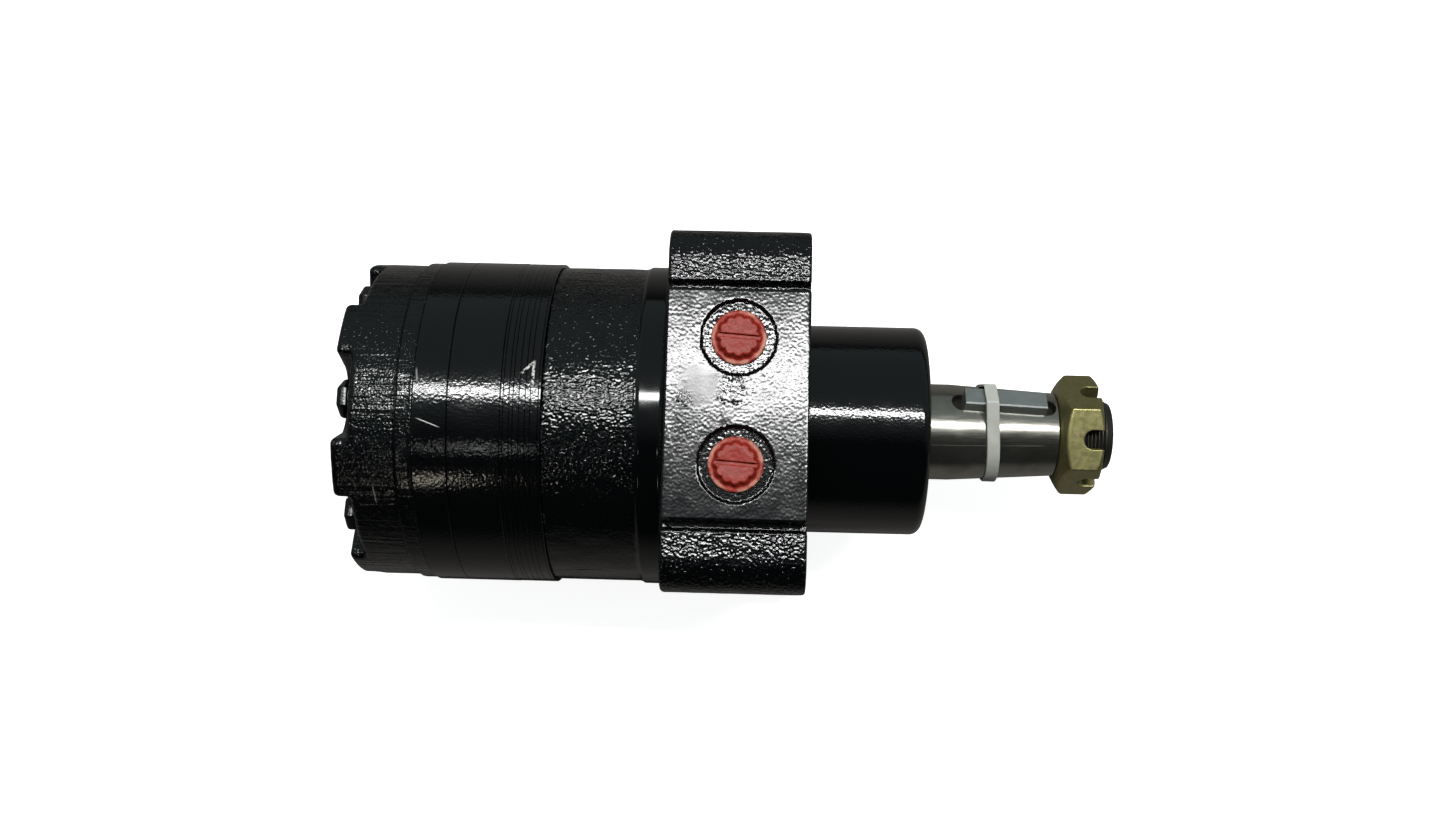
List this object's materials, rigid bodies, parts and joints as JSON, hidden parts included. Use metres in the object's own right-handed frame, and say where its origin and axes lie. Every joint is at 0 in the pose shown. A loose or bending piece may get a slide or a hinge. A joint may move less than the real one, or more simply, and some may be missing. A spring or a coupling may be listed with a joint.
{
  "type": "hydraulic motor",
  "caption": "Orbital hydraulic wheel motor with a square lug flange, pilot nose, side ports, tapered keyed shaft and a roller-stator rotor set inside.",
  "frame": {"origin": "where the shaft axis meets the front mounting face of the flange", "axes": "+X along the shaft towards its threaded end, +Z the outward normal of the port face"},
  "size_m": [0.2934, 0.133, 0.1366],
  "materials": {
    "cast_paint": "gloss black paint over rough-cast iron",
    "gloss_paint": "smooth gloss black paint over turned steel",
    "bolt_paint": "gloss black paint, worn at the corners",
    "shaft_steel": "ground, oiled",
    "key_steel": "drawn key steel, satin",
    "zinc_gold": "yellow zinc plate over steel",
    "tie_plastic": "translucent white nylon",
    "red_plastic": "satin moulded plastic",
    "rubber": "satin",
    "bearing_steel": "ground and polished",
    "dark_steel": "hardened, oiled"
  },
  "bodies": {
    "motor_body": {"housing": "cast_paint", "dust_seal": "rubber", "seal_washer": "dark_steel", "shaft_seal": "rubber", "front_bearing_shell": "bearing_steel", "thrust_race": "bearing_steel", "rear_bearing_shell": "bearing_steel", "manifold_plate_1": "gloss_paint", "manifold_plate_2": "gloss_paint", "manifold_plate_3": "gloss_paint", "manifold_plate_4": "gloss_paint", "manifold_plate_5": "gloss_paint", "manifold_plate_6": "gloss_paint", "manifold_plate_7": "gloss_paint", "manifold_plate_8": "gloss_paint", "stator_ring": "gloss_paint", "balance_plate": "gloss_paint", "end_cover": "cast_paint", "cover_bolts": "bolt_paint", "housing_seal": "rubber", "front_stator_seal": "rubber", "rear_stator_seal": "rubber", "cover_seal": "rubber", "port_plug_a": "red_plastic", "port_plug_b": "red_plastic"},
    "shaft": {"output_shaft": "shaft_steel", "shaft_key": "key_steel", "key_tie": "tie_plastic", "slotted_nut": "zinc_gold", "thrust_washer": "bearing_steel"},
    "front_cage": {"front_bearing_cage": "dark_steel", "front_bearing_rollers": "bearing_steel"},
    "thrust_cage_set": {"thrust_cage": "dark_steel", "thrust_rollers": "bearing_steel"},
    "rear_cage": {"rear_bearing_cage": "dark_steel", "rear_bearing_rollers": "bearing_steel"},
    "spacer": {"link_spacer": "dark_steel"},
    "rotor_body": {"rotor": "bearing_steel"},
    "link": {"drive_link": "dark_steel"},
    "roller_1": {"stator_roller_1": "bearing_steel"},
    "roller_2": {"stator_roller_2": "bearing_steel"},
    "roller_3": {"stator_roller_3": "bearing_steel"},
    "roller_4": {"stator_roller_4": "bearing_steel"},
    "roller_5": {"stator_roller_5": "bearing_steel"},
    "roller_6": {"stator_roller_6": "bearing_steel"},
    "roller_7": {"stator_roller_7": "bearing_steel"}
  },
  "joints": [
    {"name": "shaft_spin", "type": "hinge", "parent": "motor_body", "child": "shaft", "pos_m": [0, 0, 0], "axis": [1, 0, 0], "continuous": true},
    {"name": "front_cage_spin", "type": "hinge", "parent": "motor_body", "child": "front_cage", "pos_m": [0.008, 0, 0], "axis": [1, 0, 0], "continuous": true},
    {"name": "thrust_cage_spin", "type": "hinge", "parent": "motor_body", "child": "thrust_cage_set", "pos_m": [-0.0125, 0, 0], "axis": [1, 0, 0], "continuous": true},
    {"name": "rear_cage_spin", "type": "hinge", "parent": "motor_body", "child": "rear_cage", "pos_m": [-0.073, 0, 0], "axis": [1, 0, 0], "continuous": true},
    {"name": "rotor_orbit", "type": "hinge", "parent": "motor_body", "child": "spacer", "pos_m": [-0.12, 0, 0], "axis": [1, 0, 0], "continuous": true},
    {"name": "rotor_spin", "type": "hinge", "parent": "spacer", "child": "rotor_body", "pos_m": [-0.12055, 0.0013, 0.0027], "axis": [1, 0, 0], "continuous": true},
    {"name": "link_spin", "type": "hinge", "parent": "spacer", "child": "link", "pos_m": [-0.062, 0, 0], "axis": [0.9986, -0.0228, -0.0474], "continuous": true},
    {"name": "roller_1_spin", "type": "hinge", "parent": "motor_body", "child": "roller_1", "pos_m": [-0.12055, 0.01736, 0.03604], "axis": [1, 0, 0], "continuous": true},
    {"name": "roller_2_spin", "type": "hinge", "parent": "motor_body", "child": "roller_2", "pos_m": [-0.12055, 0.039, 0.0089], "axis": [1, 0, 0], "continuous": true},
    {"name": "roller_3_spin", "type": "hinge", "parent": "motor_body", "child": "roller_3", "pos_m": [-0.12055, 0.03127, -0.02494], "axis": [1, 0, 0], "continuous": true},
    {"name": "roller_4_spin", "type": "hinge", "parent": "motor_body", "child": "roller_4", "pos_m": [-0.12055, 0, -0.04], "axis": [1, 0, 0], "continuous": true},
    {"name": "roller_5_spin", "type": "hinge", "parent": "motor_body", "child": "roller_5", "pos_m": [-0.12055, -0.03127, -0.02494], "axis": [1, 0, 0], "continuous": true},
    {"name": "roller_6_spin", "type": "hinge", "parent": "motor_body", "child": "roller_6", "pos_m": [-0.12055, -0.039, 0.0089], "axis": [1, 0, 0], "continuous": true},
    {"name": "roller_7_spin", "type": "hinge", "parent": "motor_body", "child": "roller_7", "pos_m": [-0.12055, -0.01736, 0.03604], "axis": [1, 0, 0], "continuous": true}
  ],
  "couplings": [
    {"joint": "front_cage_spin", "follows": "shaft_spin", "ratio": 0.4485},
    {"joint": "thrust_cage_spin", "follows": "shaft_spin", "ratio": 0.5},
    {"joint": "rear_cage_spin", "follows": "shaft_spin", "ratio": 0.4569},
    {"joint": "rotor_orbit", "follows": "shaft_spin", "ratio": -6},
    {"joint": "rotor_spin", "follows": "shaft_spin", "ratio": 7},
    {"joint": "link_spin", "follows": "shaft_spin", "ratio": 7},
    {"joint": "roller_1_spin", "follows": "shaft_spin", "ratio": -5.15},
    {"joint": "roller_2_spin", "follows": "shaft_spin", "ratio": -5.15},
    {"joint": "roller_3_spin", "follows": "shaft_spin", "ratio": -5.15},
    {"joint": "roller_4_spin", "follows": "shaft_spin", "ratio": -5.15},
    {"joint": "roller_5_spin", "follows": "shaft_spin", "ratio": -5.15},
    {"joint": "roller_6_spin", "follows": "shaft_spin", "ratio": -5.15},
    {"joint": "roller_7_spin", "follows": "shaft_spin", "ratio": -5.15}
  ]
}
